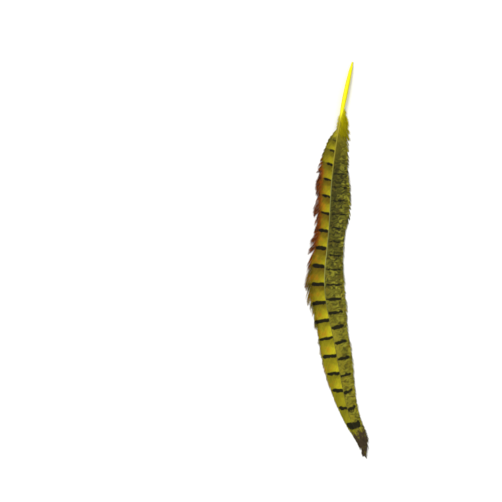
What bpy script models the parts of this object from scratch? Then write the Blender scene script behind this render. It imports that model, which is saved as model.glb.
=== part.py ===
"""A pheasant's tail feather, lying on a flat surface with its coloured side up.

The quill end points to +Y and the tip to -Y. The shaft bows towards -X. The origin is on
the surface, under the middle of the feather's box. The feather grew as one piece, so it is
one solid: the tapered shaft, fused with two vanes whose edges part into slanted locks.
"""

import math
import random

import bmesh
import bpy
from mathutils import Vector

MM = 0.001

# The feather as a whole.
LENGTH = 280 * MM          # from the quill's end to the tip, in a straight line
QUILL_X = 11.2 * MM        # where the quill's end lies, across the feather
TIP_X = 19.3 * MM          # where the tip lies, across the feather
BOW = 22.1 * MM            # how far the shaft bows to -X between its ends
BOW_LEAN = 3.1 * MM        # moves the deepest part of the bow towards the tip
WAVE = 2.3 * MM            # a slight extra bend below the middle
WAVE_AT = 0.57             # its place along the feather, 0 at the quill and 1 at the tip
WAVE_SPAN = 0.42           # its length, as a share of the feather's
WAVE_FADE = 0.20           # how fast it dies away on both sides
TIP_BEND = 1.9 * MM        # a short bend to +X just before the tip
TIP_BEND_AT = 0.955
TIP_BEND_SPAN = 0.035
ARCH = 3.6 * MM            # how high the shaft's underside rises off the surface

# The shaft's radius along the feather: a bare quill, then a taper to the tip.
SHAFT_RADIUS = [
    (0.000, 0.45 * MM),
    (0.018, 1.05 * MM),
    (0.060, 1.55 * MM),
    (0.100, 1.60 * MM),
    (0.130, 1.22 * MM),
    (0.160, 0.98 * MM),
    (0.350, 0.76 * MM),
    (0.600, 0.52 * MM),
    (0.850, 0.30 * MM),
    (1.000, 0.14 * MM),
]
SHAFT_END = 0.993          # the shaft stops just short of the tip
SHAFT_RINGS = 64
SHAFT_SIDES = 10

# How far each vane reaches from the shaft: the barred one to -X, the mottled one to +X.
BARRED_REACH = [
    (0.115, 0.7 * MM),
    (0.150, 1.3 * MM),
    (0.172, 2.0 * MM),
    (0.186, 4.0 * MM),
    (0.202, 6.1 * MM),
    (0.245, 8.8 * MM),
    (0.300, 11.6 * MM),
    (0.420, 10.8 * MM),
    (0.545, 14.0 * MM),
    (0.655, 11.5 * MM),
    (0.740, 11.3 * MM),
    (0.830, 8.3 * MM),
    (0.910, 4.5 * MM),
    (0.970, 1.9 * MM),
    (1.000, 0.4 * MM),
]
MOTTLED_REACH = [
    (0.115, 1.4 * MM),
    (0.140, 4.6 * MM),
    (0.165, 6.9 * MM),
    (0.200, 8.9 * MM),
    (0.235, 10.2 * MM),
    (0.275, 11.6 * MM),
    (0.312, 14.0 * MM),
    (0.350, 14.9 * MM),
    (0.388, 14.6 * MM),
    (0.425, 12.5 * MM),
    (0.455, 12.2 * MM),
    (0.500, 13.1 * MM),
    (0.560, 14.9 * MM),
    (0.630, 14.1 * MM),
    (0.680, 11.8 * MM),
    (0.740, 11.3 * MM),
    (0.790, 10.0 * MM),
    (0.870, 7.8 * MM),
    (0.930, 6.8 * MM),
    (0.955, 6.2 * MM),
    (0.972, 4.8 * MM),
    (0.987, 2.9 * MM),
    (1.000, 1.6 * MM),
]
VANE_START = 0.115         # where the vanes leave the quill
VANE_THICK = 0.7 * MM
VANE_LEVEL = 1.4           # height of the vane's root up the shaft, in shaft radii
REST_FROM = 0.8            # beyond this share of its reach, a vane lies on the surface
BARB_SLOPE = 0.95          # how fast the barbs run towards the tip as they leave the shaft
BARB_SWEEP = 0.55          # how much more they turn to the tip at the vane's edge

# The locks that a vane's edge parts into.
LOCKS = 32                 # on each side
RIBS_PER_LOCK = 4
LOCK_SHAPE = (0.0, 0.6, 1.0, 0.8)          # a lock's edge, from its notch to its point
NOTCH = 0.07               # depth of the notches, as a share of the reach
DOWN_NOTCH = 0.30          # the same in the down next to the quill
TIP_NOTCH = 0.26           # the same at the worn tip
SHALLOW = 0.86             # a rib that keeps this share of its reach has its inner points in full
DOWN_END = 0.20
TIP_WEAR = 0.90
ACROSS = (0.0, 0.27, 0.54, REST_FROM, 1.0)  # points along a rib, as shares of its reach
SEED = 11

FEATHER_COLOUR = (0.26, 0.22, 0.03, 1.0)


def clear_scene():
    """Remove every object that the file starts with."""
    for thing in list(bpy.data.objects):
        bpy.data.objects.remove(thing, do_unlink=True)


def smooth_between(points, t):
    """Read a smooth curve through (place, value) points at t."""
    last = len(points) - 1
    k = 0
    while k < last - 1 and t > points[k + 1][0]:
        k += 1
    t0, v0 = points[k]
    t1, v1 = points[k + 1]
    before = points[max(k - 1, 0)]
    after = points[min(k + 2, last)]
    gap = t1 - t0
    slope0 = (v1 - before[1]) / (t1 - before[0]) * gap
    slope1 = (after[1] - v0) / (after[0] - t0) * gap
    s = min(max((t - t0) / gap, 0.0), 1.0)
    return (
        v0 * (2 * s**3 - 3 * s**2 + 1)
        + slope0 * (s**3 - 2 * s**2 + s)
        + v1 * (3 * s**2 - 2 * s**3)
        + slope1 * (s**3 - s**2)
    )


def shaft_x(t):
    """Where the shaft's middle lies across the feather."""
    chord = QUILL_X + (TIP_X - QUILL_X) * t
    hump = 4 * t * (1 - t)
    off = t - WAVE_AT
    wave = math.cos(2 * math.pi * off / WAVE_SPAN) * math.exp(-((off / WAVE_FADE) ** 2))
    bend = TIP_BEND * math.exp(-(((t - TIP_BEND_AT) / TIP_BEND_SPAN) ** 2))
    return chord - hump * (BOW + BOW_LEAN * (2 * t - 1)) - WAVE * wave + bend


def shaft_y(t):
    return LENGTH * (0.5 - t)


def lift(t):
    """Height of the shaft's underside above the surface."""
    return ARCH * math.sin(math.pi * min(max(t, 0.0), 1.0) ** 0.85)


def shaft_radius(t):
    return smooth_between(SHAFT_RADIUS, t)


def shaft_middle(t):
    return Vector((shaft_x(t), shaft_y(t), lift(t) + shaft_radius(t)))


def sideways(t):
    """The level direction square to the shaft, towards +X."""
    step = 0.002
    along = Vector((shaft_x(t + step) - shaft_x(t - step), shaft_y(t + step) - shaft_y(t - step), 0))
    return Vector((-along.y, along.x, 0)).normalized()


def vane_point(root, side, share, reach_points):
    """A point of a vane's underside, on the rib that leaves the shaft at root."""
    reach = smooth_between(reach_points, root)
    run = reach * (BARB_SLOPE * share + BARB_SWEEP * share**2)
    t = min(root + run / LENGTH, 1.0)
    away = side * share * smooth_between(reach_points, t)
    fall = max(0.0, 1 - (share / REST_FROM) ** 2)
    root_height = lift(t) + VANE_LEVEL * shaft_radius(t) - VANE_THICK / 2
    place = Vector((shaft_x(t), shaft_y(t), 0)) + sideways(t) * away
    place.z = max(root_height, 0.0) * fall
    return place


def notch_depth(root):
    """How deep the locks part here: down at the quill, wear at the tip."""
    if root < DOWN_END:
        return DOWN_NOTCH
    if root > TIP_WEAR:
        return TIP_NOTCH
    return NOTCH


def lock_shares(dice):
    """For each rib of one vane, how much of the full reach it has."""
    shares = []
    ribs = LOCKS * RIBS_PER_LOCK
    for lock in range(LOCKS):
        depth = dice.uniform(0.5, 1.5)
        for k, shape in enumerate(LOCK_SHAPE):
            root = rib_root(lock * RIBS_PER_LOCK + k, ribs)
            shares.append(1 - depth * notch_depth(root) * (1 - shape))
    return shares


def rib_root(index, ribs):
    return VANE_START + (SHAFT_END - VANE_START) * index / (ribs - 1)


def rib_points(root, side, lock_share, reach_points):
    """One rib's points from the shaft to the vane's edge. Only a deep notch draws its inner points in."""
    inner = min(1.0, lock_share / SHALLOW)
    shares = [share * inner for share in ACROSS[:-1]] + [lock_share]
    return [vane_point(root, side, share, reach_points) for share in shares]


def make_vanes(material):
    """Both vanes as one sheet of slanted ribs, then given their thickness."""
    dice = random.Random(SEED)
    left = lock_shares(dice)
    right = lock_shares(dice)
    ribs = LOCKS * RIBS_PER_LOCK
    sheet = bmesh.new()
    rows = []
    for k in range(ribs):
        root = rib_root(k, ribs)
        barred = rib_points(root, -1, left[k], BARRED_REACH)
        mottled = rib_points(root, 1, right[k], MOTTLED_REACH)
        points = barred[:0:-1] + mottled
        rows.append([sheet.verts.new(point) for point in points])
    for upper, lower in zip(rows, rows[1:]):
        for k in range(len(upper) - 1):
            sheet.faces.new((upper[k], lower[k], lower[k + 1], upper[k + 1]))
    bmesh.ops.recalc_face_normals(sheet, faces=sheet.faces)
    if sheet.faces[0].normal.z < 0:
        bmesh.ops.reverse_faces(sheet, faces=sheet.faces)
    vanes = add_object("feather", sheet, material)
    thicken = vanes.modifiers.new("thickness", "SOLIDIFY")
    thicken.thickness = VANE_THICK
    thicken.offset = 1.0
    return vanes


def make_shaft(material):
    """The quill and shaft: rings along the bowed and arched middle line, closed at both ends."""
    shaft = bmesh.new()
    rings = []
    for k in range(SHAFT_RINGS):
        t = SHAFT_END * k / (SHAFT_RINGS - 1)
        middle = shaft_middle(t)
        across = sideways(t)
        ring = []
        for side in range(SHAFT_SIDES):
            turn = 2 * math.pi * side / SHAFT_SIDES
            out = across * math.cos(turn) + Vector((0, 0, 1)) * math.sin(turn)
            ring.append(shaft.verts.new(middle + out * shaft_radius(t)))
        rings.append(ring)
    for near, far in zip(rings, rings[1:]):
        for k in range(SHAFT_SIDES):
            nxt = (k + 1) % SHAFT_SIDES
            shaft.faces.new((near[k], near[nxt], far[nxt], far[k]))
    shaft.faces.new(rings[0])
    shaft.faces.new(rings[-1])
    bmesh.ops.recalc_face_normals(shaft, faces=shaft.faces)
    return add_object("shaft_shape", shaft, material)


def add_object(name, shape, material):
    mesh = bpy.data.meshes.new(name)
    shape.to_mesh(mesh)
    shape.free()
    mesh.materials.append(material)
    thing = bpy.data.objects.new(name, mesh)
    bpy.context.scene.collection.objects.link(thing)
    return thing


def feather_material():
    material = bpy.data.materials.new("dyed feather")
    material.use_nodes = True
    surface = material.node_tree.nodes["Principled BSDF"]
    surface.inputs["Base Color"].default_value = FEATHER_COLOUR
    surface.inputs["Roughness"].default_value = 0.6
    surface.inputs["Metallic"].default_value = 0.0
    return material


def build():
    clear_scene()
    material = feather_material()
    vanes = make_vanes(material)
    shaft = make_shaft(material)
    shaft.hide_render = True
    shaft.display_type = "WIRE"
    join = vanes.modifiers.new("shaft", "BOOLEAN")
    join.operation = "UNION"
    join.solver = "EXACT"
    join.object = shaft


build()
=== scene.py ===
# %% [markdown]
# # A pheasant's tail feather
#
# This lesson dresses one dyed tail feather that lies on a pale table. The solid feather comes
# from the frame, at its real size: a tapered shaft with two plain sheets for vanes. A real vane
# isn't a sheet. It is a row of more than five hundred stiff hairs, the barbs, which hook onto
# each other like a zip. That is what we build here, barb by barb, along the same lines.

# %% The frame
import math

import bpy
import numpy as np
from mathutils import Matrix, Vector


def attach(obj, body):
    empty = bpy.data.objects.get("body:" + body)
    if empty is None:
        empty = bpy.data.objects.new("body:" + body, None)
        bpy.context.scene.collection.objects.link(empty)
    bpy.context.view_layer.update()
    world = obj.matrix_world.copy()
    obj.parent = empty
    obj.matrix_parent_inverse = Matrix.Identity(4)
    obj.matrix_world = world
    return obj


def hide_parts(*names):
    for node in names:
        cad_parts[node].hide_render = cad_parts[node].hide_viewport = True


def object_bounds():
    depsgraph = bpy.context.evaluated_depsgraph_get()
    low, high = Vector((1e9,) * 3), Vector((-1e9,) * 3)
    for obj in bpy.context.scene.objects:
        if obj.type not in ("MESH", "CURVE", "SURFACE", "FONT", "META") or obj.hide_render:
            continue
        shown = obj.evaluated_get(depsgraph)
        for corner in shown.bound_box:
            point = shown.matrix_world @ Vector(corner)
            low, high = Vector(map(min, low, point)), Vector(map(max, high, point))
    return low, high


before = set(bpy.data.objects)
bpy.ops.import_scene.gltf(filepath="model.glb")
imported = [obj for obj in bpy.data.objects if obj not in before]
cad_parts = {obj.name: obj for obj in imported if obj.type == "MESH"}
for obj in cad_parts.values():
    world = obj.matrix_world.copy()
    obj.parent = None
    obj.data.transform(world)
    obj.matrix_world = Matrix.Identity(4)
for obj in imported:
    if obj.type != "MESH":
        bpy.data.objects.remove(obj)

cad_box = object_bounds()
MM = 0.001
print("solid feather, mm:", [round((high - low) / MM, 1) for low, high in zip(*cad_box)])

# %% [markdown]
# ## The feather's lines
#
# Everything hangs on one line, the middle of the shaft, which bows to one side and arches a
# few millimetres off the table. We could draw it as a curve by hand, but a formula lets each
# barb ask where the shaft is and which way it points. So the shaft's place, its radius and the
# reach of each vane are functions of t, which is 0 at the quill's end and 1 at the tip. They
# are the solid's own functions, so the fine feather keeps within a millimetre of the plain one.

# %% Measures of the feather
LENGTH = 280 * MM
QUILL_X = 11.2 * MM        # where the quill's end and the tip lie, across the feather
TIP_X = 19.3 * MM
BOW = 22.1 * MM            # how far the shaft bows to -X between its ends
BOW_LEAN = 3.1 * MM        # moves the deepest part of the bow towards the tip
WAVE = 2.3 * MM            # a slight extra bend below the middle,
WAVE_AT = 0.57             # with its place in t,
WAVE_SPAN = 0.42           # its length
WAVE_FADE = 0.20           # and how fast it dies away on both sides
TIP_BEND = 1.9 * MM        # a short bend to +X just before the tip
TIP_BEND_AT = 0.955
TIP_BEND_SPAN = 0.035
ARCH = 3.6 * MM            # how high the shaft's underside rises off the table
SHEET = 0.7 * MM           # thickness of the solid's vanes
VANE_LEVEL = 1.93          # height of the barbs' roots up the shaft, in shaft radii,
ROOT_DROP = 0.08 * MM      # less half a barb's thickness, so that the shaft's ridge shows
REST_FROM = 0.8            # beyond this share of its reach, a vane lies on the table
SOFT_LANDING = 0.004       # rounds the corner where it comes down, 0 would be a sharp bend
BARB_SLOPE = 0.95          # how fast the barbs run towards the tip as they leave the shaft
BARB_SWEEP = 0.55          # how much more they turn to the tip at the vane's edge
SHAFT_END = 0.993          # the shaft stops just short of the tip
SHORT_WAY = 0.002          # a short step in t, over which a direction is measured
BARRED, MOTTLED = -1, 1    # the side of the shaft, along X

SHAFT_RADIUS = [
    (0.000, 0.45), (0.018, 1.05), (0.060, 1.55), (0.100, 1.60), (0.130, 1.22),
    (0.160, 0.98), (0.350, 0.76), (0.600, 0.52), (0.850, 0.30), (1.000, 0.14),
]
REACH = {
    BARRED: [
        (0.115, 0.7), (0.150, 1.3), (0.172, 2.0), (0.186, 4.0), (0.202, 6.1), (0.245, 8.8),
        (0.300, 11.6), (0.420, 10.8), (0.545, 14.0), (0.655, 11.5), (0.740, 11.3),
        (0.830, 8.3), (0.910, 4.5), (0.970, 1.9), (1.000, 0.4),
    ],
    MOTTLED: [
        (0.115, 1.4), (0.140, 4.6), (0.165, 6.9), (0.200, 8.9), (0.235, 10.2), (0.275, 11.6),
        (0.312, 14.0), (0.350, 14.9), (0.388, 14.6), (0.425, 12.5), (0.455, 12.2),
        (0.500, 13.1), (0.560, 14.9), (0.630, 14.1), (0.680, 11.8), (0.740, 11.3),
        (0.790, 10.0), (0.870, 7.8), (0.930, 6.8), (0.955, 6.2), (0.972, 4.8), (0.987, 2.9),
        (1.000, 1.6),
    ],
}
print("the vanes' outlines have", [len(points) for points in REACH.values()], "points")

# %% Curves along the feather


def smooth_between(points, t):
    """Read a smooth curve through (place, millimetres) points at t, in metres."""
    place, value = np.array(points).T
    last = len(place) - 1
    k = np.clip(np.searchsorted(place, t) - 1, 0, last - 1)
    before, after = np.maximum(k - 1, 0), np.minimum(k + 2, last)
    gap = place[k + 1] - place[k]
    slope0 = (value[k + 1] - value[before]) / (place[k + 1] - place[before]) * gap
    slope1 = (value[after] - value[k]) / (place[after] - place[k]) * gap
    s = np.clip((t - place[k]) / gap, 0, 1)
    rise = 3 * s**2 - 2 * s**3
    bend = slope0 * (s**3 - 2 * s**2 + s) + slope1 * (s**3 - s**2)
    return (value[k] * (1 - rise) + value[k + 1] * rise + bend) * MM


def shaft_x(t):
    off = t - WAVE_AT
    wave = np.cos(2 * math.pi * off / WAVE_SPAN) * np.exp(-((off / WAVE_FADE) ** 2))
    hump = 4 * t * (1 - t) * (BOW + BOW_LEAN * (2 * t - 1))
    bend = TIP_BEND * np.exp(-(((t - TIP_BEND_AT) / TIP_BEND_SPAN) ** 2))
    return QUILL_X + (TIP_X - QUILL_X) * t - hump - WAVE * wave + bend


def lift(t):
    """Height of the shaft's underside."""
    return ARCH * np.sin(math.pi * np.clip(t, 0, 1) ** 0.85)


def radius(t):
    return smooth_between(SHAFT_RADIUS, t)


def sideways(t):
    """The level direction square to the shaft, towards +X."""
    run = shaft_x(t + SHORT_WAY) - shaft_x(t - SHORT_WAY)
    drop = -2 * SHORT_WAY * LENGTH
    size = np.hypot(run, drop)
    return np.stack([-drop / size, run / size, np.zeros_like(run)], axis=-1)


def along_shaft(t, height):
    return np.stack([shaft_x(t), LENGTH * (0.5 - t), height], axis=-1)


print("shaft at its middle, mm:", np.round(along_shaft(np.array(0.5), lift(0.5)) / MM, 1))

# %% Points of a vane


def vane_middle(root, share, side, sweep, level):
    """A point halfway through the vane, on the barb that leaves the shaft at root, and its t."""
    run = smooth_between(REACH[side], root) * (BARB_SLOPE * share + BARB_SWEEP * share**2) * sweep
    t = np.minimum(root + run / LENGTH, 1)
    fall = 1 - (share / REST_FROM) ** 2
    soft_fall = (fall + np.sqrt(fall**2 + SOFT_LANDING)) / 2
    top = lift(t) + level * radius(t) - ROOT_DROP
    height = np.maximum(top - SHEET / 2, 0) * soft_fall + SHEET / 2
    away = side * share * smooth_between(REACH[side], t)
    return along_shaft(t, height) + sideways(t) * away[..., None], t


for side in REACH:
    edge = vane_middle(np.array(0.5), np.array(1.0), side, 1.0, VANE_LEVEL)[0]
    print("edge of the barb that leaves the shaft's middle, mm:", np.round(edge / MM, 1))

# %% [markdown]
# ## Small helpers
#
# A few things are needed for every piece. One tells the operators to let go of everything,
# because the frame's own objects start out selected. Two read and write all points of a mesh
# at once, which is far faster than moving them one by one. One keeps numbers on the points for
# the materials to read. Then one turns the faces outwards and shades them smoothly, and one
# hands a piece to the frame: it rides on the feather's only body. The last is a soft step, for
# everything that begins or fades along the feather.

# %% Points of a mesh


def start_fresh():
    bpy.ops.object.select_all(action="DESELECT")


def read_points(thing):
    points = np.empty(len(thing.data.vertices) * 3)
    thing.data.vertices.foreach_get("co", points)
    return points.reshape(-1, 3)


def write_points(thing, points):
    thing.data.vertices.foreach_set("co", points.astype(np.float32).ravel())
    thing.data.update()


def note(thing, name, *columns):
    """Keep up to three numbers for each point of a mesh, for its material to read."""
    values = np.zeros((len(thing.data.vertices), 3), np.float32)
    values[:, :len(columns)] = np.stack(columns, axis=-1)
    kept = thing.data.attributes.new(name, "FLOAT_VECTOR", "POINT")
    kept.data.foreach_set("vector", values.ravel())


print("objects selected at the start:", len(bpy.context.selected_objects))

# %% Finishing a piece


def face_outwards(thing):
    start_fresh()
    bpy.context.view_layer.objects.active = thing
    thing.select_set(True)
    bpy.ops.object.mode_set(mode="EDIT")
    bpy.ops.mesh.select_all(action="SELECT")
    bpy.ops.mesh.normals_make_consistent(inside=False)
    bpy.ops.object.mode_set(mode="OBJECT")
    bpy.ops.object.shade_smooth()


def hand_over(thing, name):
    thing.name = name
    face_outwards(thing)
    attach(thing, "root")
    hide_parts("feather")
    print(name, "has", sum(len(face.vertices) - 2 for face in thing.data.polygons), "triangles")


def ease(low, high, value):
    """0 below low, 1 above high and a soft step between."""
    s = np.clip((value - low) / (high - low), 0, 1)
    return s * s * (3 - 2 * s)


print("soft step at its middle:", ease(0, 1, 0.5))

# %% [markdown]
# ## A row of straight sticks
#
# The shaft, the barbs and the down are all long tapering sticks. Each starts straight, along
# +X and one unit long, because a straight stick is easy to model and to give a flat map. An
# Array modifier sets copies side by side, one unit apart, like the teeth of a comb. Only then is
# every tooth laid in its own place on the feather. The flat map gives each tooth a cell of its
# own, so the painted colours of a finished feather can later be kept in one picture.

# %% The flat map of a comb
MAP_NAME = "OFBake"        # the flat map's name
TOOTH = 0.4                # radius of a tooth, under half a unit so that teeth stay apart
CELL_MARGIN = 0.04         # free edge at both ends of a tooth's cell, as a share of its length
CELL_HEIGHT = 0.66         # share of the cell's height that the way round the tooth takes up
ON_AXIS = 0.01             # a face whose middle is this near the tooth's axis is an end face


def tooth_at(y, count):
    """The number of the tooth that a point belongs to, from its place along Y."""
    return np.clip(np.round(y).astype(int), 0, count - 1)


def map_flat(row, count):
    """Give each straight tooth a cell of a flat map, along it in U and round it in V."""
    mesh = row.data
    corner = np.empty(len(mesh.loops), np.int32)
    mesh.loops.foreach_get("vertex_index", corner)
    first = np.empty(len(mesh.polygons), np.int32)
    mesh.polygons.foreach_get("loop_start", first)
    total = np.diff(np.append(first, len(corner)))
    points = read_points(row)[corner]
    number = tooth_at(points[:, 1], count)
    points[:, 1] -= number
    face = np.repeat(np.arange(len(first)), total)
    centre = (np.add.reduceat(points, first) / total[:, None])[face]
    turn = np.arctan2(points[:, 2], points[:, 1]) / (2 * math.pi)
    face_turn = np.arctan2(centre[:, 2], centre[:, 1]) / (2 * math.pi)
    around = face_turn + (turn - face_turn + 0.5) % 1 - 0.5
    around[np.hypot(centre[:, 1], centre[:, 2]) < ON_AXIS] = 0
    along = CELL_MARGIN + (1 - 2 * CELL_MARGIN) * points[:, 0] / points[:, 0].max()
    columns = max(1, round(math.sqrt(count) / 2))
    rows = -(-count // columns)
    u = (number % columns + along) / columns
    v = (number // columns + 0.5 + CELL_HEIGHT * around) / rows
    layer = mesh.uv_layers.new(name=MAP_NAME, do_init=False)
    layer.uv.foreach_set("vector", np.stack([u, v], axis=-1).astype(np.float32).ravel())


print("a tooth's cell leaves", CELL_MARGIN, "of its length free at both ends")

# %% A comb

def comb(count, sides, cuts, tip=1.0):
    """A row of straight teeth along +X, where number k lies at y = k. A tip of 0 is a point."""
    start_fresh()
    bpy.ops.mesh.primitive_cone_add(
        vertices=sides, radius1=TOOTH, radius2=TOOTH * tip, depth=1, calc_uvs=False,
        location=(0.5, 0, 0), rotation=(0, math.pi / 2, 0),
    )
    row = bpy.context.object
    bpy.ops.object.transform_apply(location=True, rotation=True, scale=True)
    if cuts:
        for part in (row.data.polygons, row.data.vertices):
            part.foreach_set("select", [False] * len(part))
        for edge in row.data.edges:        # only those that run along the tooth are cut
            start, end = (row.data.vertices[k].co.x for k in edge.vertices)
            edge.select = abs(end - start) > 0.5
        bpy.context.tool_settings.mesh_select_mode = (False, True, False)
        bpy.ops.object.mode_set(mode="EDIT")
        bpy.ops.mesh.subdivide(number_cuts=cuts)
        bpy.ops.object.mode_set(mode="OBJECT")
    copies = row.modifiers.new("copies", "ARRAY")
    copies.count = count
    copies.use_relative_offset = False
    copies.use_constant_offset = True
    copies.constant_offset_displace = (0, 1, 0)
    bpy.ops.object.modifier_apply(modifier="copies")
    map_flat(row, count)
    return row


def take_apart(row, count):
    """Each point's tooth, its place along the tooth, across it and up it (-0.5 to 0.5)."""
    x, y, z = read_points(row).T
    number = tooth_at(y, count)
    return number, x, (y - number) / (2 * TOOTH), z / (2 * TOOTH)


print("a tooth is", 2 * TOOTH, "units wide, and its neighbour stands one unit away")

# %% [markdown]
# ## The quill and shaft
#
# The bare quill is a hollow horn tube that ends in a small opening. Above the down it becomes
# the shaft, which has a groove below. A bevelled curve would be quick, but it can't change its
# section on the way. So we extrude a straight stick of unit radius, ring by ring, and sink a
# small hole into its end. Then the stick is laid along the feather's line.

# %% Quill and shaft
SHAFT_SIDES = 20
SHAFT_RINGS = 130
GROOVE = 0.45              # depth of the groove under the shaft, in shaft radii
GROOVE_WIDTH = 0.35        # from its middle to where it is a third as deep, in shaft radii
GROOVE_START = 0.14, 0.22  # where it comes in, in t
OPENING = 0.45             # width of the horn round the opening, in shaft radii
HOLE = 1.5                 # depth of the opening, in gaps between the stick's rings

start_fresh()
bpy.ops.mesh.primitive_circle_add(
    vertices=SHAFT_SIDES, radius=1, fill_type="NGON", rotation=(0, math.pi / 2, 0), calc_uvs=False
)
shaft = bpy.context.object
bpy.ops.object.transform_apply(location=False, rotation=True, scale=False)
bpy.ops.object.mode_set(mode="EDIT")
bpy.ops.mesh.select_all(action="SELECT")
for _ in range(SHAFT_RINGS - 1):
    bpy.ops.mesh.extrude_region_move(TRANSFORM_OT_translate={"value": (1, 0, 0)})
bpy.ops.mesh.select_mode(type="FACE")
bpy.ops.mesh.select_all(action="DESELECT")
bpy.ops.object.mode_set(mode="OBJECT")
for face in shaft.data.polygons:           # only the round end face of the quill
    face.select = len(face.vertices) == SHAFT_SIDES and face.center.x < 0.5
bpy.ops.object.mode_set(mode="EDIT")
bpy.ops.mesh.inset(thickness=OPENING)
bpy.ops.mesh.extrude_region_move(TRANSFORM_OT_translate={"value": (HOLE, 0, 0)})
bpy.ops.object.mode_set(mode="OBJECT")
map_flat(shaft, 1)
print("the stick has", len(shaft.data.polygons), "faces")

# %% Laying the shaft
stick = read_points(shaft)
shaft_t = SHAFT_END * stick[:, 0] / (SHAFT_RINGS - 1)
shaft_r = radius(shaft_t)
grooved = ease(*GROOVE_START, shaft_t) * GROOVE * np.exp(-((stick[:, 1] / GROOVE_WIDTH) ** 2))
below = (stick[:, 2] < 0) * np.hypot(stick[:, 1], stick[:, 2])
up = (stick[:, 2] + grooved * below) * shaft_r
centre = along_shaft(shaft_t, lift(shaft_t) + shaft_r + up)
write_points(shaft, centre + sideways(shaft_t) * (stick[:, 1] * shaft_r)[:, None])
note(shaft, "horn", stick[:, 1], shaft_t * LENGTH / MM, stick[:, 2])
hand_over(shaft, "shaft")

# %% [markdown]
# ## How barbs leave the shaft
#
# A barb leaves the shaft at a slant and bends towards the tip. Near the shaft it is zipped to
# its neighbours, and further out it may be free. Free barbs stick together in small bunches,
# and those in larger clumps, which is what makes a fringe look combed and not woven. So each
# barb gets a few numbers of its own: its root, how far out it stays zipped, the pull to the
# middle of its bunch and clump, its length, curl, rise and tone.

# %% Bunches of barbs
BUNCH = (3, 8)             # barbs in a bunch, the least and the most
CLUMP = (10, 24)           # the same for a clump
WORN_FROM = 0.915          # from this t on, the worn tip parts into
WORN_BUNCH = 0.3           # bunches of this share of the usual size


def bunches(rng, root, least, most):
    """Cut a row into bunches: each barb's bunch, its distance to the middle and its place."""
    count = len(root)
    bunch, away, place = np.zeros(count, int), np.zeros(count), np.zeros(count)
    first = number = 0
    while first < count:
        size = rng.integers(least, most + 1) * (WORN_BUNCH if root[first] > WORN_FROM else 1)
        last = min(first + max(int(size), 2), count)
        inside = slice(first, last)
        bunch[inside] = number
        away[inside] = (first + last - 1) / 2 - np.arange(first, last)
        place[inside] = away[inside] / max((last - first) / 2, 1)
        first, number = last, number + 1
    return bunch, away, place


trial = bunches(np.random.default_rng(1), np.linspace(0.2, 0.8, 100), *CLUMP)[0]
print("a hundred barbs fall into", trial[-1] + 1, "clumps")

# %% The numbers of a vane
HAIR = 0.85                # width of a free barb in a fringe, in gaps between barbs
CLOSED = 1.7               # the same where a zipped vane ends without a fringe
STRAYS = 0.22              # share of a full fringe's barbs that leave their bunch
FULL_REACH = 8 * MM        # where a vane reaches less far, its barbs curl and droop less


def grow(side, count, start, end, seed, loose, fringe, rough, clump=CLUMP):
    """The numbers of a row of barbs. loose, fringe and rough are functions of the root's t.

    own holds five chance numbers of each barb, and shared those of its clump.
    """
    rng = np.random.default_rng(seed)
    root = start + (end - start) * np.arange(count) / (count - 1)
    step = (end - start) / (count - 1)
    _, to_bunch, _ = bunches(rng, root, *BUNCH)
    wide, to_clump, place = bunches(rng, root, *clump)
    own, shared = rng.normal(0, 1, (5, count)), rng.normal(0, 1, (5, count))[:, wide]
    stray = rng.random(count) < STRAYS * fringe(root)
    narrow = np.minimum(smooth_between(REACH[side], root) / FULL_REACH, 1) ** 1.5
    length = 1.02 - fringe(root) * (0.04 + 0.17 * np.abs(place) ** 1.5)
    length += rough(root) * (0.35 * own[0] + 0.8 * shared[0]) + 0.08 * stray
    pull = (0.12 + 0.30 * fringe(root)) * (1 - 0.85 * stray)
    droop = narrow * fringe(root) * (0.5 * shared[2] + 0.3 * own[2]) * MM / LENGTH
    curl = fringe(root) * (0.55 * shared[1] + 0.30 * own[1]) + 0.05 * own[1]
    return {
        "side": side,
        "root": root,
        "gap": step * LENGTH,
        "sweep": np.ones(count),
        "level": np.full(count, VANE_LEVEL),
        "hair": CLOSED + (HAIR - CLOSED) * np.minimum(2 * fringe(root), 1),
        "loose": loose(root),
        "to_bunch": (0.4 + 0.2 * fringe(root)) * to_bunch * step * (1 - stray),
        "to_clump": pull * to_clump * step + droop,
        "length": np.clip(length, 0.3, 1.04),
        "curl": MM * narrow * np.maximum(curl, -0.6),
        "wave": MM * narrow * fringe(root) * 0.22 * own[0],
        "rise": MM * (0.08 + 0.30 * fringe(root)) * np.abs(0.6 * own[3] + 0.5 * shared[3]),
        "tone": np.clip(0.45 * own[4] + 0.35 * shared[4], -1, 1),
    }


print("a free barb is", HAIR, "gaps wide, and up to", STRAYS, "of them are strays")

# %% Following a barb
AHEAD = 0.01               # a short step along a barb, over which its direction is measured
WAVES = 7                  # how fast a free barb waves, in radians for each full reach


def follow(vane, k, u):
    """The plain line of barb k at u along it: a point, its share of the reach, freedom and t."""
    share = u * vane["length"][k]
    free = ease(vane["loose"][k], 1.0, share)
    root = vane["root"][k] + vane["to_bunch"][k] * free + vane["to_clump"][k] * free**2
    middle, t = vane_middle(root, share, vane["side"], vane["sweep"][k], vane["level"][k])
    return middle, share, free, t


def unit(vectors):
    return vectors / np.linalg.norm(vectors, axis=-1)[..., None]


def stand_on(vane, k, u):
    """A point on barb k, with the directions on along it, across it and up from it."""
    here, share, free, t = follow(vane, k, u)
    on = unit(follow(vane, k, u + AHEAD)[0] - here)
    further = t + SHORT_WAY
    down_shaft = along_shaft(further, lift(further)) - along_shaft(t, lift(t))
    up = unit(np.cross(down_shaft, on))
    up *= np.sign(up[:, 2])[:, None]
    across = np.cross(up, on)
    sway = vane["curl"][k] * free**2 + vane["wave"][k] * free * np.sin(WAVES * share)
    here = here + across * sway[:, None] + up * (vane["rise"][k] * free)[:, None]
    return here, on, across, up, share, free, t


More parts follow.
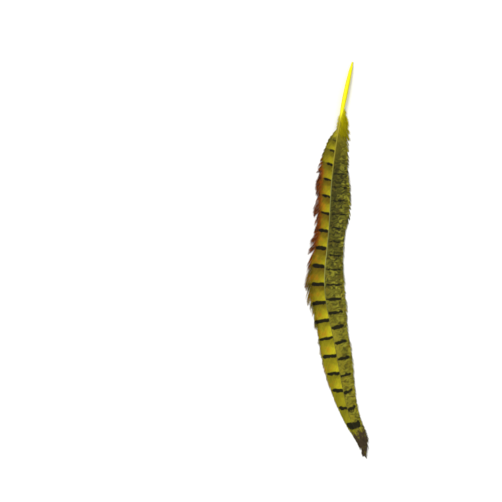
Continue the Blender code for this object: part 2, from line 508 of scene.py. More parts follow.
print("a vane is a set of numbers for each barb, and a line that follows from them")

# %% [markdown]
# ## From numbers to barbs
#
# Now the teeth of a comb are laid along those lines. In the zipped part a barb is a flat blade
# that overlaps the next like a shingle, so no light shows through. Where it comes free it
# narrows to a hair. The points keep what the markings need: how far out they are, how far
# along the shaft, the barb's tone, and whether they are on its upper or lower side.

# %% Laying barbs
BLADE = 1.7                # width of a zipped barb, in gaps between barbs
FREE_TAPER = (1.5, 0.8)    # a free barb's width at its root in hairs, and what it loses to its end
BLUNT_END = -0.04, 0.10    # over the last tenth of its length, a barb narrows to a blunt point
BARB_DEPTH = 0.16 * MM
DEPTH_TAPER = 0.5          # share of its depth that a barb loses to its end
SHINGLE = 0.14             # how far a blade leans over its neighbour
CLEAR = 0.03 * MM          # barbs stay this far above the table
PROUD = 0.05 * MM          # and rise no further than this above the solid feather
TOP = cad_box[1][2] + PROUD


def lay(row, vane):
    """Lay a comb's teeth as the barbs of a vane."""
    count = len(vane["root"])
    k, u, flat, thick = take_apart(row, count)
    here, on, across, up, share, free, t = stand_on(vane, k, u)
    plain = [vane["side"], vane["sweep"][k], vane["level"][k]]
    root = vane["root"][k]
    to_next = vane_middle(root + vane["gap"] / LENGTH, share, *plain)[0]
    to_next -= vane_middle(root, share, *plain)[0]
    apart = np.linalg.norm(np.cross(to_next, on), axis=-1)
    hair = vane["hair"][k] * (FREE_TAPER[0] - FREE_TAPER[1] * u)
    width = apart * (BLADE * (1 - free) + free * hair) * ease(*BLUNT_END, 1 - u)
    depth = BARB_DEPTH * (1 - DEPTH_TAPER * u)
    places = here + across * (flat * width)[:, None]
    places += up * (thick * depth + flat * width * SHINGLE)[:, None]
    places[:, 2] = np.clip(places[:, 2], CLEAR, TOP)
    write_points(row, places)
    keep_place(row, vane, k, t, share, thick)


marked = {}                # each piece with its side, and the t and share of its points


def keep_place(thing, vane, k, t, share, thick):
    """Keep each point's place on the feather, and its barb's tone, for the materials."""
    reach = share * smooth_between(REACH[vane["side"]], t) / MM
    note(thing, "where", reach, t * LENGTH / MM, vane["tone"][k])
    note(thing, "spread", share, thick)
    marked[thing] = (vane["side"], t, share)


print("a zipped barb is", BLADE, "gaps wide and", round(BARB_DEPTH / MM, 2), "mm thick")

# %% [markdown]
# ## The barred vane
#
# The narrow outer vane is yellow with black bars. Its barbs hold together near the shaft and
# come loose towards the edge, where they turn into a red-brown fringe that hangs in pointed
# tufts. The fringe is widest in the feather's upper half and fades below the middle. A grid
# of hair particles could make a fringe too, but it wouldn't be mesh, and the barbs of the
# fringe are the same barbs that make the vane.

# %% Making a vane
BARB_GAP = 0.42 * MM       # from one barb to the next, along the shaft
BARB_SIDES = 4
BARB_CUTS = 20
VANE_START = {BARRED: 0.165, MOTTLED: 0.150}
VANE_END = 0.990
VANE_SEED = {BARRED: 3, MOTTLED: 5}


def make_vane(side, name, loose, fringe, rough):
    """Grow a vane and lay its barbs: the piece, and the numbers of its barbs."""
    count = round((VANE_END - VANE_START[side]) * LENGTH / BARB_GAP)
    vane = grow(side, count, VANE_START[side], VANE_END, VANE_SEED[side], loose, fringe, rough)
    barbs = comb(count, BARB_SIDES, BARB_CUTS)
    lay(barbs, vane)
    hand_over(barbs, name)
    return barbs, vane


print("one barb leaves the shaft every", round(BARB_GAP / MM, 2), "mm")

# %% Barred vane


def haze_at(root):
    """How much of the fringe there is: most in the upper half."""
    return ease(0.19, 0.27, root) * ease(0.74, 0.46, root)


def fringe_at(root):
    """How loose and hair-like the barred vane's edge is: the fringe, and a little at the worn tip."""
    return haze_at(root) + 0.25 * ease(0.90, 0.95, root)


def barred_loose(root):
    """How far out a barb stays zipped, as a share of its reach."""
    return 0.86 - 0.34 * fringe_at(root) - 0.30 * ease(0.185, 0.165, root)


def barred_rough(root):
    """How much the barbs' lengths differ: most at the worn tip."""
    return 0.04 + 0.08 * fringe_at(root) + 0.22 * ease(0.88, 0.95, root)


barred, barred_rows = make_vane(BARRED, "barred_vane", barred_loose, fringe_at, barred_rough)

# %% [markdown]
# ## The mottled vane
#
# The other vane was covered by its neighbour in the tail. Its barbs stay zipped nearly to the
# edge, and end in short, even points.

# %% Mottled vane


def mottled_loose(root):
    return 0.86 - 0.45 * ease(0.19, 0.155, root) - 0.20 * ease(0.90, 0.95, root)


def mottled_fringe(root):
    return 0.10 + 0.4 * ease(0.20, 0.16, root) + 0.4 * ease(0.90, 0.95, root)


def mottled_rough(root):
    return 0.025 + 0.05 * ease(0.20, 0.16, root) + 0.22 * ease(0.88, 0.95, root)


mottled, _ = make_vane(MOTTLED, "mottled_vane", mottled_loose, mottled_fringe, mottled_rough)

# %% [markdown]
# ## Barbules
#
# Every barb carries two rows of far finer hairs, the barbules. In the zipped vane they are
# hooked flat and can't be seen one by one. In the fringe and the down they stand free, and it
# is their haze that makes both look soft. A barbule is a thin spike with three sides, four
# triangles in all, because there are thousands. Each stands on a barb at a slant, some up and
# some down, so the haze has depth.

# %% Setting barbules
BARBULE = 0.05 * MM        # width of a barbule, coarser than the real one to show
BARBULE_SIDES = 3
SLANT_SPREAD = 0.25        # how much the slants of barbules differ, in radians
TILT_SPREAD = 0.45         # how much they stand up or hang down
SHORTEST = 0.55            # the shortest barbule, as a share of the longest
BARBULE_BEND = 0.25        # how far its end bends along the barb, as a share of its length
UPPER_SIDE = 0.3           # its height in its barb, so that it keeps the colour of the upper side


def set_barbules(row, vane, k, u, length, slant, rng):
    """Stand a comb's spikes on the barbs k of a vane, at u along them."""
    count = len(k)
    n, x, flat, thick = take_apart(row, count)
    here, on, across, up, share, _, t = stand_on(vane, k, u)
    hand = np.where(np.arange(count) % 2, 1.0, -1.0)
    steep = slant + rng.normal(0, SLANT_SPREAD, count)
    tilt = rng.normal(0, TILT_SPREAD, count)
    out = unit(
        on * np.cos(steep)[:, None] + across * (hand * np.sin(steep))[:, None] + up * tilt[:, None]
    )
    side_on = unit(np.cross(out, np.array([0, 0, 1.0])))
    reach = length * rng.uniform(SHORTEST, 1.0, count)
    places = here[n] + out[n] * (x * reach[n])[:, None]
    places += on[n] * (BARBULE_BEND * x**2 * reach[n])[:, None]
    places += side_on[n] * (flat * BARBULE)[:, None]
    places[:, 2] = np.clip(places[:, 2], CLEAR, TOP - BARBULE) + (thick + 0.5) / 2 * BARBULE
    write_points(row, places)
    keep_place(row, vane, k[n], t[n], share[n], np.full_like(x, UPPER_SIDE))


print("a barbule is", round(BARBULE / MM, 2), "mm wide and half as thick")

# %% [markdown]
# ## The fringe's haze
#
# The free ends of the barred vane's barbs get their barbules here, about a millimetre long.

# %% Fringe haze
FRINGE_BARBULES = 46000
FRINGE_LENGTH = 1.0 * MM   # of the longest barbules
FRINGE_SLANT = 0.7         # from the barb to its barbules, in radians
FRINGE_SEED = 21
LAST_BARBULE = 0.97        # beyond this share of its length, a barb has no barbules,
PAST_ZIP = 0.02            # nor nearer than this to its zipped part

rng = np.random.default_rng(FRINGE_SEED)
chance = haze_at(barred_rows["root"])
k = np.sort(rng.choice(len(chance), FRINGE_BARBULES, p=chance / chance.sum()))
u = rng.uniform(barred_rows["loose"][k] + PAST_ZIP, LAST_BARBULE)
fringe = comb(FRINGE_BARBULES, BARBULE_SIDES, 0, 0.0)
set_barbules(fringe, barred_rows, k, u, FRINGE_LENGTH, FRINGE_SLANT, rng)
hand_over(fringe, "fringe_barbules")

# %% [markdown]
# ## The down
#
# At the foot of both vanes the barbs never zip. They are limp threads with long barbules, and
# together they make the soft tuft that kept the bird warm. The threads grow as the vane's barbs
# do, only fewer and free from the root. They run further along the quill, lie close to it, and
# get shorter towards the vane, so that the down has no hard edge there. The quill's top stays
# bare, so barbules that would stand over the shaft are left out. On the barred side little
# down is left, and only a short fuzz lies along the quill.

# %% Growing down
DOWN_CLUMP = (2, 5)        # threads in a clump, the least and the most
DOWN_CURL = 1.5            # threads curl and wave this much more than free barbs do
DOWN_WAVE = 2.5
DOWN_DROP = 0.15           # and leave the quill lower, by this share of its radius
THREAD_GAP = 0.3 * MM      # a thread is as wide as if its neighbour stood this far away


def always(value):
    """A function of the root that gives one value all along."""
    return lambda root: np.full_like(root, value)


def grow_down(side, count, start, end, seed, full):
    """The numbers of the threads of down. full is the longest threads' share of the reach."""
    loose, fringe, rough = always(0.0), always(0.8), always(0.22)
    threads = grow(side, count, start, end, seed, loose, fringe, rough, DOWN_CLUMP)
    threads["sweep"] = 1.1 + 1.4 * ease(0.175, 0.11, threads["root"])
    threads["length"] *= full * (1 - 0.55 * ease(0.142, 0.172, threads["root"]))
    threads["curl"] *= DOWN_CURL
    threads["wave"] *= DOWN_WAVE
    threads["level"] -= DOWN_DROP
    threads["to_bunch"] *= 0.0
    threads["gap"] = THREAD_GAP
    return threads


print("down hangs in clumps of", DOWN_CLUMP[0], "to", DOWN_CLUMP[1], "threads")

# %% Laying down
THREAD_SIDES = 4
THREAD_CUTS = 12
DOWN_LENGTH = 1.9 * MM     # of the longest barbules
DOWN_SLANT = 0.55
FIRST_BARBULE = 0.03       # nearer the quill, as a share of its length, a thread has no barbules
BARE_TOP = 0.75            # nor has it any within this many shaft radii of the shaft's middle
TRIES = 2                  # places drawn for each barbule, because some fall on the bare top

# Each side's name, first and last root, threads, barbules at most, share of the reach and seed.
DOWN = {
    BARRED: ("barred_down", 0.122, 0.172, 34, 5000, 0.9, 31),
    MOTTLED: ("mottled_down", 0.107, 0.176, 72, 24000, 1.0, 37),
}

down = []
for side, (name, start, end, count, most, full, seed) in DOWN.items():
    threads = grow_down(side, count, start, end, seed, full)
    stems = comb(count, THREAD_SIDES, THREAD_CUTS)
    lay(stems, threads)
    rng = np.random.default_rng(seed)
    k = rng.integers(0, count, TRIES * most)
    u = rng.uniform(FIRST_BARBULE, LAST_BARBULE, TRIES * most)
    _, share, _, t = follow(threads, k, u)
    beside = share * smooth_between(REACH[side], t) > BARE_TOP * radius(t)
    k, u = k[beside][:most], u[beside][:most]
    tuft = comb(len(k), BARBULE_SIDES, 0, 0.0)
    set_barbules(tuft, threads, k, u, DOWN_LENGTH, DOWN_SLANT, rng)
    hand_over(stems, name + "_threads")
    hand_over(tuft, name)
    down += [stems, tuft]

# %% [markdown]
# ## Colours and the node helper
#
# Colours are written as sRGB hex values, as a paint chart gives them, and turned to the linear
# values that the renderer works in. One function adds any node to the material in hand, sets
# it and links its inputs. The few nodes that come back often get short functions of their own.
# Each material is begun by one function, and another gives it to the pieces that wear it.

# %% Colour and node helpers

def colour(code):
    """Turn an sRGB hex colour to linear RGBA."""
    parts = [int(code[k:k + 2], 16) / 255 for k in (1, 3, 5)]
    return [c / 12.92 if c <= 0.04045 else ((c + 0.055) / 1.055) ** 2.4 for c in parts] + [1.0]


def add(kind, *inputs, **settings):
    """Add a node to the tree in hand. An input is another node's socket or a value."""
    made = tree.nodes.new("ShaderNode" + kind)
    for name, value in settings.items():
        setattr(made, name, value)
    sockets = [socket for socket in made.inputs if socket.enabled]
    for socket, value in zip(sockets, inputs):
        if isinstance(value, bpy.types.NodeSocket):
            tree.links.new(value, socket)
        else:
            socket.default_value = value
    return next(socket for socket in made.outputs if socket.enabled)


def times(one, other):
    """The product of two inputs."""
    return add("Math", one, other, operation="MULTIPLY")


def plus(one, other):
    """The sum of two inputs."""
    return add("Math", one, other)


def minus(one, other):
    """The first input less the other."""
    return add("Math", one, other, operation="SUBTRACT")


def absolute(value):
    """A value without its sign."""
    return add("Math", value, operation="ABSOLUTE")


def distance(value, place):
    """How far a value is from a place."""
    return absolute(plus(value, -place))


def fraction(value):
    """What a value has above the whole number below it."""
    return add("Math", value, operation="FRACT")


print("a middle grey is", round(colour("#808080")[0], 3), "in linear light")

# %% Ramps, blends and materials

def ramp(value, *ends):
    """Turn the way between the first two ends to 0 to 1, or to the way between the next two."""
    return add("MapRange", value, *ends)


def soft(value, *ends):
    """The same with a soft start and end."""
    return add("MapRange", value, *ends, interpolation_type="SMOOTHSTEP")


def mix(share, one, other):
    """Blend two colours. Each is an input or a hex value."""
    one, other = (colour(c) if isinstance(c, str) else c for c in (one, other))
    return add("Mix", share, one, other, data_type="RGBA")


def start_material(name, roughness, gloss):
    """A new material with its tree and surface in hand."""
    material = bpy.data.materials.new(name)
    material.use_nodes = True
    surface = material.node_tree.nodes["Principled BSDF"]
    surface.inputs["Roughness"].default_value = roughness
    surface.inputs["Specular IOR Level"].default_value = gloss
    return material, material.node_tree, surface


def wear(material, ground, *pieces):
    """Give the surface in hand its ground colour, and the material to its pieces."""
    tree.links.new(ground, surface.inputs["Base Color"])
    for piece in pieces:
        piece.data.materials.append(material)
    print(material.name, "has", len(tree.nodes), "nodes, pieces that wear it:", len(pieces))


print("every material starts with a surface and an output")

# %% [markdown]
# ## Where the bars go
#
# The dark bars stay about as far apart along the whole feather, because each is a pulse of
# pigment that the growing feather laid down. So we count them. A value that is a whole number
# in the middle of each bar rises along the vane, a second runs from -1 at a bar's inner end to
# 1 at its outer end, and a third is half the bar's thickness. All points keep these three
# numbers, and the material turns them into bars. A bar can slant: in the upper half its outer
# end lies nearer the quill than its inner end, and near the tip the two vanes' bars meet in a
# V. A barred vane's bar turns about its end at the shaft, a mottled one's about its middle.
# The mottled vane has one wider gap near its middle, where two pulses came further apart.

# %% Bar places, in mm from the quill's end
BARRED_FIRST = 55.6        # the first bar of the barred vane
BARRED_GAP = 12.5          # from one bar to the next,
BARRED_CROWD = 5.0         # less at the first bar by this much,
CROWD_FADE = 1.75          # which fades over about so many bars
MOTTLED_FIRST = 59.6
MOTTLED_GAP = 9.52
MOTTLED_SPREAD = 2.35      # what the gap gains towards the tip,
SPREAD_FROM, SPREAD_TO = 162, 219          # between these places
WIDE_GAP = 2.05            # what the wider gap near the middle gains,
WIDE_AT = 148.5            # with its place,
WIDE_SPAN = 11.7           # and how far from it the gain has fallen to a third
PLAIN_GAP = 30             # the count starts two gaps of this size before the first bar,
PAST_TIP = 20              # and ends this far past the tip


def barred_gap(k, place):
    """The gap after bar k of the barred vane. place, where the bar lies, is not used."""
    return BARRED_GAP - BARRED_CROWD * math.exp(-k / CROWD_FADE)


def mottled_gap(k, place):
    """The same for the mottled vane."""
    wide = WIDE_GAP * math.exp(-(((place - WIDE_AT) / WIDE_SPAN) ** 2))
    return MOTTLED_GAP + MOTTLED_SPREAD * ease(SPREAD_FROM, SPREAD_TO, place) + wide


def bar_places(first, gap):
    """The middles of a vane's bars, with the two places that only start the count."""
    places = [first - 2 * PLAIN_GAP, first - PLAIN_GAP, first]
    while places[-1] < LENGTH / MM + PAST_TIP:
        places.append(places[-1] + gap(len(places) - 3, places[-1]))
    return np.array(places)


barred_bars = bar_places(BARRED_FIRST, barred_gap)
mottled_bars = bar_places(MOTTLED_FIRST, mottled_gap)
print("first bars of the barred vane, mm:", np.round(barred_bars[2:6], 1))
print("first bars of the mottled vane, mm:", np.round(mottled_bars[2:6], 1))

# %% Slant, ends and thickness of the bars
PIVOT = {BARRED: 0.0, MOTTLED: 0.45}       # share of the reach where a slanted bar keeps its place
LAST_BAR = 0.90            # from this t on, the bars melt into the dark tip


def mark_barred(t):
    """Slant, ends as shares of the reach, and half thickness in mm of the barred vane's bars."""
    slant = 0.18 - 0.16 * ease(0.35, 0.50, t) + 0.22 * ease(0.76, 0.84, t)
    outer = 0.51 + 0.14 * ease(0.30, 0.46, t) + 0.27 * ease(0.57, 0.65, t)
    outer -= 0.05 * ease(0.66, 0.70, t)
    half = 0.86 + 0.42 * ease(0.32, 0.50, t) + 0.9 * ease(LAST_BAR - 0.02, LAST_BAR, t)
    inner = 0.03 - 0.05 * ease(0.50, 0.60, t) - 0.30 * ease(0.88, 0.90, t)
    return slant, inner, outer, half, barred_bars


def mark_mottled(t):
    """The same for the mottled vane."""
    slant = 0.02 - 0.12 * ease(0.52, 0.60, t) + 0.14 * ease(0.64, 0.70, t)
    slant += 0.14 * ease(0.74, 0.80, t) - 0.14 * ease(0.89, 0.91, t)
    inner = 0.08 - 0.08 * ease(0.55, 0.60, t) - 0.30 * ease(0.88, 0.90, t)
    outer = 0.82 - 0.05 * ease(0.55, 0.62, t)
    half = 0.55 + 0.60 * ease(0.52, 0.68, t) + 0.10 * ease(0.70, 0.80, t)
    half += 0.9 * ease(LAST_BAR - 0.02, LAST_BAR, t)
    return slant, inner, outer, half, mottled_bars


MARKS = {BARRED: mark_barred, MOTTLED: mark_mottled}
for thing, (side, t, share) in marked.items():
    slant, inner, outer, half, bars = MARKS[side](t)
    out = share - PIVOT[side]
    here = t * LENGTH / MM + slant * out * smooth_between(REACH[side], t) / MM
    count = np.interp(here, bars, np.arange(len(bars)))
    gap = np.interp(here, bars[:-1], np.diff(bars))
    note(thing, "bars", count, 2 * (share - inner) / (outer - inner) - 1, half / gap)
print("all points of", len(marked), "pieces know their place among the bars")

# %% [markdown]
# ## Patterns shared by both vanes
#
# A cloud is a noise whose patches have a size in millimetres, across the vane and along it. A
# bar is the place where the count is near a whole number, with a lens outline. Its edges are
# moved by a cloud, and by each barb's own tone, because every barb laid down its own pigment a
# little early or late. The worn tip is dark, with a border moved by a cloud.

# %% Shared patterns
OWN_PULSE = 0.02           # how far a barb's tone moves a bar on it, in gaps between bars
BLUNT = 6.0                # how blunt the ends of a bar are, where 2 would make an ellipse
TIP_FROM, TIP_TO = 268.5, 272.0            # the dark tip's soft border, in mm, which a cloud
TIP_RAGGED = 18.0          # moves nearer to the quill by up to this


def numbers(name):
    """The three numbers that the points keep under a name, as sockets."""
    kept = tree.nodes.new("ShaderNodeAttribute")
    kept.attribute_name = name
    parts = tree.nodes.new("ShaderNodeSeparateXYZ")
    tree.links.new(kept.outputs["Vector"], parts.inputs[0])
    return parts.outputs


def cloud(reach, along, mm_across, mm_along, detail, seed):
    """Cloudy values around 0.5, with patches of the given size in millimetres."""
    u = times(reach, 1 / mm_across)
    v = times(along, 1 / mm_along)
    return add("TexNoise", add("CombineXYZ", u, v, seed), 1.0, detail)


def off_bar(reach, along, tone, ragged):
    """How far a point is from a bar's middle, and half the bar's thickness, in gaps."""
    count, _, half = numbers("bars")
    wander = plus(cloud(reach, along, 2.6, 2.0, 2.0, 0.0), -0.5)
    moved = plus(count, times(wander, ragged))
    moved = plus(moved, times(tone, OWN_PULSE))
    off = distance(fraction(plus(moved, 0.5)), 0.5)
    size = ramp(cloud(reach, along, 30.0, 9.0, 0.0, 3.0), 0.3, 0.7, 0.86, 1.20)
    return off, times(half, size)


def in_bar(off, half, softness):
    """How much a point is in a bar, whose outline is a blunt lens."""
    far = add("Math", absolute(numbers("bars")[1]), BLUNT, operation="POWER")
    room = add("Math", minus(1.0, far), 0.0, operation="MAXIMUM")
    lens = times(half, add("Math", room, operation="SQRT"))
    return soft(minus(lens, off), -softness, softness)


def darken_tip(ground, reach, along):
    """Turn the tip dark brown, with yellow spots left out."""
    rough = times(cloud(reach, along, 1.4, 3.0, 2.0, 4.0), TIP_RAGGED)
    dark = soft(plus(along, rough), TIP_FROM, TIP_TO)
    spots = ramp(cloud(reach, along, 1.0, 2.2, 1.0, 8.0), 0.58, 0.66, 1.0, 0.35)
    return mix(times(dark, spots), ground, "#3E3220")


def vary(ground, tone, thick, below):
    """Shade each barb by its tone, and turn the underside to its paler colour."""
    shade = ramp(tone, -1.0, 1.0, 0.80, 1.18)
    ground = add("VectorMath", ground, shade, operation="SCALE")
    under = ramp(thick, -0.02, -0.12)
    return mix(times(under, 0.6), ground, below)


print("patterns: cloud, bar, tip and the barbs' own shades")

# %% [markdown]
# ## Dyed barbs of the barred vane
#
# Barbs are keratin, the stuff of nails, with pigment grown into them and a clear yellow dye
# over it. Keratin barbs are matt, because light comes off thousands of small threads. The
# ground runs from olive below one bar to clear yellow above the next, with an orange cloud
# between, and turns to the rust brown of the fringe at the edge.

# %% Barred material: olive and yellow
barred_keratin, tree, surface = start_material("dyed keratin barbs, barred", 0.7, 0.12)
reach, along, tone = numbers("where")
share, thick, _ = numbers("spread")
band = fraction(numbers("bars")[0])
patch = cloud(reach, along, 3.0, 3.5, 2.0, 9.0)
streak = cloud(reach, along, 6.0, 0.9, 2.0, 12.0)
lower = soft(along, 148.0, 195.0)

# From one bar to the next, band runs from 0 to 1, and olive turns to yellow.
olive = mix(ramp(along, 60.0, 90.0), "#645C08", "#665406")
olive = mix(lower, olive, "#80780E")
yellow = mix(lower, "#8E840A", "#B8AF18")
rise = plus(band, times(plus(patch, -0.5), 0.6))
clear = soft(rise, 0.10, 0.85)
clear = times(clear, soft(band, 0.89, 1.0, 1.0, 0.0))
ground = mix(clear, olive, yellow)

# Next to the shaft the yellow is brighter, with a painted highlight on the groove's slope there,
# and the outer half stays more olive.
painted_light_by_shaft = times(ramp(reach, 4.5, 0.5), ramp(rise, 0.3, 0.8))
painted_light_by_shaft = times(painted_light_by_shaft, ramp(along, 190.0, 230.0, 0.35, 0.05))
ground = mix(painted_light_by_shaft, ground, "#D2C81E")
outer = ramp(along, 185.0, 205.0, 0.4, 0.75)
outer = times(ramp(share, 0.30, 0.75), outer)
ground = mix(outer, ground, olive)
print("the ground takes", len(tree.nodes), "nodes")

# %% Barred material: orange clouds and rust fringe
belly = soft(distance(band, 0.66), 0.34, 0.08)
stain = times(belly, soft(share, 0.12, 0.45))
stain = times(stain, soft(patch, 0.38, 0.62))
stain = times(stain, ramp(along, 245.0, 165.0, 0.25, 0.75))
stain = times(stain, ramp(along, 66.0, 96.0))
ground = mix(stain, ground, "#A8700A")

# The fringe begins at a share of the reach, which is moved by streaks.
edge = soft(along, 64.0, 80.0, 1.10, 0.55)
edge = plus(edge, soft(along, 122.0, 160.0, 0.0, 0.42))
edge = minus(share, edge)
edge = plus(edge, times(plus(streak, -0.5), 0.45))
orange = soft(edge, -0.10, 0.02)
brown = soft(edge, -0.01, 0.13)
rim = mix(lower, "#94560C", "#93762A")
rust = ramp(streak, 0.40, 0.62)
rust = mix(rust, "#6A300A", "#9C5410")
rust = mix(lower, rust, "#84692C")
ground = mix(times(orange, 0.7), ground, rim)
ground = mix(brown, ground, rust)
print("with the fringe it takes", len(tree.nodes), "nodes")

# %% Barred material: bars and tip
worn = soft(along, 228.0, 244.0, 0.0, 0.7)
ground = mix(worn, ground, "#7A760F")

# A bar ends before the fringe, but a faint trace of it runs on there.
off, half = off_bar(reach, along, tone, 0.17)
trace = soft(minus(half, off), -0.04, 0.04)
trace = times(times(trace, brown), 0.45)
ground = mix(trace, ground, "#3A1B16")
fresh = ramp(along, 50.0, 66.0, 0.35, 0.97)
bars = times(in_bar(off, half, 0.016), fresh)
ground = mix(bars, ground, "#121106")
down_here = soft(along, 46.0, 34.0)
ground = mix(down_here, ground, "#6E6410")
ground = darken_tip(ground, reach, along)
ground = vary(ground, tone, thick, "#A39A52")
wear(barred_keratin, ground, barred, fringe)

# %% [markdown]
# ## Dyed barbs of the mottled vane
#
# This vane is olive, with thin wavy bars and a net of dark worm-like marks between them. Such
# marks are lines that run across the vane, wander, and break off. So we count the millimetres
# along the vane, move the count by a cloud and a little by each barb's tone, draw a line
# wherever it passes a whole number, and keep only pieces of the lines. Between them lie small
# yellow flecks. Next to the shaft, in its upper half, the vane is darkened with painted shade
# of the groove there.

# %% Mottled material: lines and flecks
mottled_keratin, tree, surface = start_material("dyed keratin barbs, mottled", 0.7, 0.12)
reach, along, tone = numbers("where")
share, thick, _ = numbers("spread")
along = plus(along, times(tone, 0.4))
upper = soft(along, 215.0, 125.0)
patch = cloud(reach, along, 4.0, 6.0, 1.0, 1.0)

LINE_GAP = 3.0             # from one dark line to the next, in mm
wander = times(plus(cloud(reach, along, 4.2, 4.0, 1.0, 2.0), -0.5), 3.4)
slope = plus(times(reach, 0.25), along)
lines = plus(times(slope, 1 / LINE_GAP), wander)
line = distance(fraction(lines), 0.5)
line = soft(line, 0.34, 0.10)
kept = soft(cloud(reach, along, 3.6, 2.2, 1.5, 7.0), 0.38, 0.56)
flecks = soft(cloud(reach, along, 4.4, 2.4, 1.5, 8.0), 0.42, 0.64)
flecks = times(flecks, minus(1.0, line))
flecks = times(flecks, ramp(share, 0.15, 0.5, 0.25, 1.0))
print("the net of lines takes", len(tree.nodes), "nodes")

# %% Mottled material: olive ground
ground = mix(upper, "#857C1C", "#57531C")
haze = soft(patch, 0.38, 0.62, 0.0, 0.7)
ground = mix(haze, ground, "#75721F")
warm = soft(cloud(reach, along, 4.5, 5.0, 1.0, 15.0), 0.52, 0.68, 0.0, 0.45)
ground = mix(warm, ground, "#6E5A18")
flecks = times(flecks, ramp(upper, 0.0, 1.0, 0.6, 0.9))
ground = mix(flecks, ground, "#A29E32")
marks = times(times(line, kept), 0.85)
marks = times(marks, ramp(upper, 0.0, 1.0, 0.7, 1.0))
ground = mix(marks, ground, "#37360F")

# Next to the shaft the upper half is darkened with painted shade of the groove there, and one
# stretch of the lower half is lighter.
groove_shade_wide = soft(reach, 9.0, 6.0, 0.0, 0.42)
groove_shade_wide = times(groove_shade_wide, ramp(along, 142.0, 125.0))
groove_shade_wide = times(groove_shade_wide, ramp(along, 62.0, 82.0))
groove_shade_narrow = soft(reach, 5.6, 3.0, 0.0, 0.6)
groove_shade_narrow = times(groove_shade_narrow, ramp(along, 122.0, 100.0))
groove_shade_narrow = times(groove_shade_narrow, ramp(along, 46.0, 64.0))
shade = add("Math", groove_shade_wide, groove_shade_narrow, operation="MAXIMUM")
ground = mix(shade, ground, "#2E2C12")
glow = soft(reach, 6.0, 2.0, 0.0, 0.4)
glow = times(glow, ramp(along, 182.0, 190.0))
glow = times(glow, ramp(along, 220.0, 208.0))
ground = mix(glow, ground, "#A49A2C")
print("with the ground it takes", len(tree.nodes), "nodes")

# %% Mottled material: bars and tip
off, half = off_bar(reach, along, tone, 0.30)
bars = in_bar(off, half, 0.03)

# In the upper half a cloud breaks the bars up.
whole = soft(cloud(reach, along, 2.6, 9.0, 1.0, 5.0), 0.32, 0.46)
whole = add("Math", whole, ramp(along, 120.0, 160.0), operation="MAXIMUM")
bars = times(bars, whole)
fresh = ramp(along, 56.0, 90.0, 0.30, 0.97)
ground = mix(times(bars, fresh), ground, "#1A1909")
down_here = ramp(along, 76.0, 44.0, 0.0, 0.75)
ground = mix(down_here, ground, "#8C8214")
ground = darken_tip(ground, reach, along)
ground = vary(ground, tone, thick, "#8E8A58")
wear(mottled_keratin, ground, mottled)

# %% [markdown]
# ## Down
#
# Down takes the dye well and has little pigment. It is brightest next to the quill and turns
# olive where the vane begins.

# %% Down material
down_keratin, tree, surface = start_material("dyed down", 0.8, 0.08)
reach, along, tone = numbers("where")
share, thick, _ = numbers("spread")
ground = mix(ramp(along, 36.0, 54.0), "#FFF410", "#B8AC12")
ground = mix(ramp(share, 0.2, 1.0, 0.0, 0.3), ground, "#B8AC18")
ground = vary(ground, tone, thick, "#8C8430")
wear(down_keratin, ground, *down)

# %% [markdown]
# ## Horn of the quill and shaft
#
# Horn is clear and smooth, so the bare quill took the dye best. The shaft's sides are darkened
# with painted shade of its round form, and on the bare quill this also stands for the deeper
# colour seen through more horn at a tube's sides. Above the down the shaft's top has a painted
# highlight, a pale straw line, between olive flanks, and it darkens towards the tip. The points
# keep how far to the side they are, how far along and how high, and the material reads those.

# %% Shaft material: its four stretches
horn, tree, surface = start_material("dyed quill horn", 0.38, 0.16)
aside, along, high = numbers("horn")
# Painted shade darkens the shaft's sides, and on the quill the deeper colour through more horn.
shaded_sides = soft(absolute(aside), 0.10, 0.80)
grain = cloud(aside, along, 0.25, 14.0, 2.0, 6.0)
pith = cloud(aside, along, 3.0, 2.5, 1.0, 2.0)

quill = mix(shaded_sides, "#FFFA08", "#D8CC00")
quill = mix(ramp(pith, 0.45, 0.75, 0.0, 0.35), quill, "#F4E800")
foot = mix(shaded_sides, "#A69812", "#746A0C")
dim = mix(shaded_sides, "#8A8018", "#5E5610")
# A pale straw line along the shaft's top is a painted highlight, palest around 144 mm.
pale = soft(distance(along, 144.0), 18.0, 8.0)
painted_highlight = mix(pale, "#6C7034", "#94964C")
ridge = mix(shaded_sides, painted_highlight, "#4C4816")
ridge = mix(ramp(grain, 0.4, 0.7, 0.0, 0.5), ridge, "#7A7838")
print("the stretches take", len(tree.nodes), "nodes")

# %% Shaft material: from the quill to the tip
ground = mix(soft(along, 34.0, 44.0), quill, foot)
ground = mix(soft(along, 46.0, 56.0), ground, dim)
ground = mix(soft(along, 72.0, 90.0), ground, ridge)
olive_end = soft(along, 150.0, 205.0, 0.0, 0.85)
ground = mix(olive_end, ground, "#5C541A")
blot = soft(distance(along, 256.6), 2.6, 1.4)
ground = mix(times(blot, 0.95), ground, "#1F1C0A")
ground = mix(ramp(along, 260.0, 268.0), ground, "#3E3320")

# The underside had no dark pigment, so it is paler.
under = soft(high, 0.1, -0.4, 0.0, 0.5)
under = times(under, soft(along, 50.0, 72.0))
ground = mix(under, ground, "#C9C79A")
wear(horn, ground, shaft)

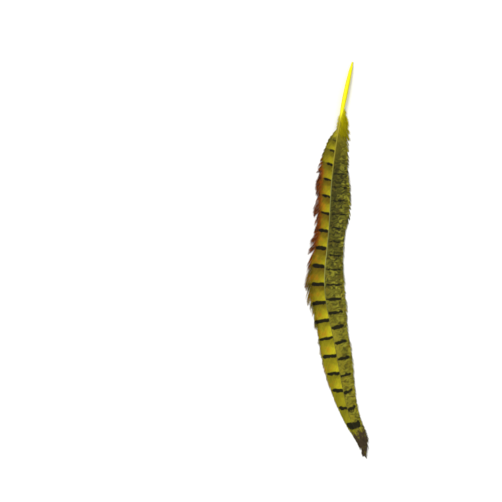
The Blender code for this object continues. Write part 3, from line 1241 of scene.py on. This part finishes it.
# %% [markdown]
# ## Table, light and camera
#
# The camera looks straight down on the feather. It stands where the whole picture is 354 mm
# wide, and a little to one side, because the feather lies right of the picture's middle.

# %% Table
TABLE_SIZE = 8             # in metres, so that its edge is never seen

start_fresh()
bpy.ops.mesh.primitive_plane_add(size=TABLE_SIZE, location=(0, 0, 0))
floor = bpy.context.object
floor.name = "table"
floor_material, tree, surface = start_material("pale matt paper", 0.9, 0.2)
surface.inputs["Base Color"].default_value = colour("#F2F2F0")
floor.data.materials.append(floor_material)
print("the table is", TABLE_SIZE, "m wide")

# %% Camera
PICTURE_WIDTH = 354 * MM
PICTURE_X = -60.4 * MM     # the picture's middle
PICTURE_Y = 6.7 * MM
CAMERA_HEIGHT = 1.5

camera_data = bpy.data.cameras.new("camera")
camera_data.sensor_width = 36
camera_data.lens = camera_data.sensor_width * CAMERA_HEIGHT / PICTURE_WIDTH
camera_data.clip_start = 0.01
camera = bpy.data.objects.new("camera", camera_data)
camera.location = (PICTURE_X, PICTURE_Y, CAMERA_HEIGHT)
bpy.context.scene.collection.objects.link(camera)
bpy.context.scene.camera = camera
print("the picture is", round(PICTURE_WIDTH / MM), "mm wide")

# %% Light
ROOM_LIGHT = 0.55          # strength of the even light from all sides


def soft_light(name, place, size, watts):
    """A large square lamp that faces the feather."""
    data = bpy.data.lights.new(name, "AREA")
    data.size = size
    data.energy = watts
    lamp = bpy.data.objects.new(name, data)
    lamp.location = place
    aim = -lamp.location
    lamp.rotation_euler = aim.to_track_quat("-Z", "Y").to_euler()
    bpy.context.scene.collection.objects.link(lamp)


soft_light("window", (-0.7, 0.5, 1.3), 0.9, 18)
soft_light("fill", (1.0, -0.6, 1.2), 1.2, 6)
world = bpy.data.worlds.new("room")
world.use_nodes = True
world.node_tree.nodes["Background"].inputs["Color"].default_value = (1, 1, 1, 1)
world.node_tree.nodes["Background"].inputs["Strength"].default_value = ROOM_LIGHT
bpy.context.scene.world = world
bpy.context.scene.view_settings.view_transform = "Standard"
print("the scene has", len(bpy.data.lights), "lamps and the room's own light")
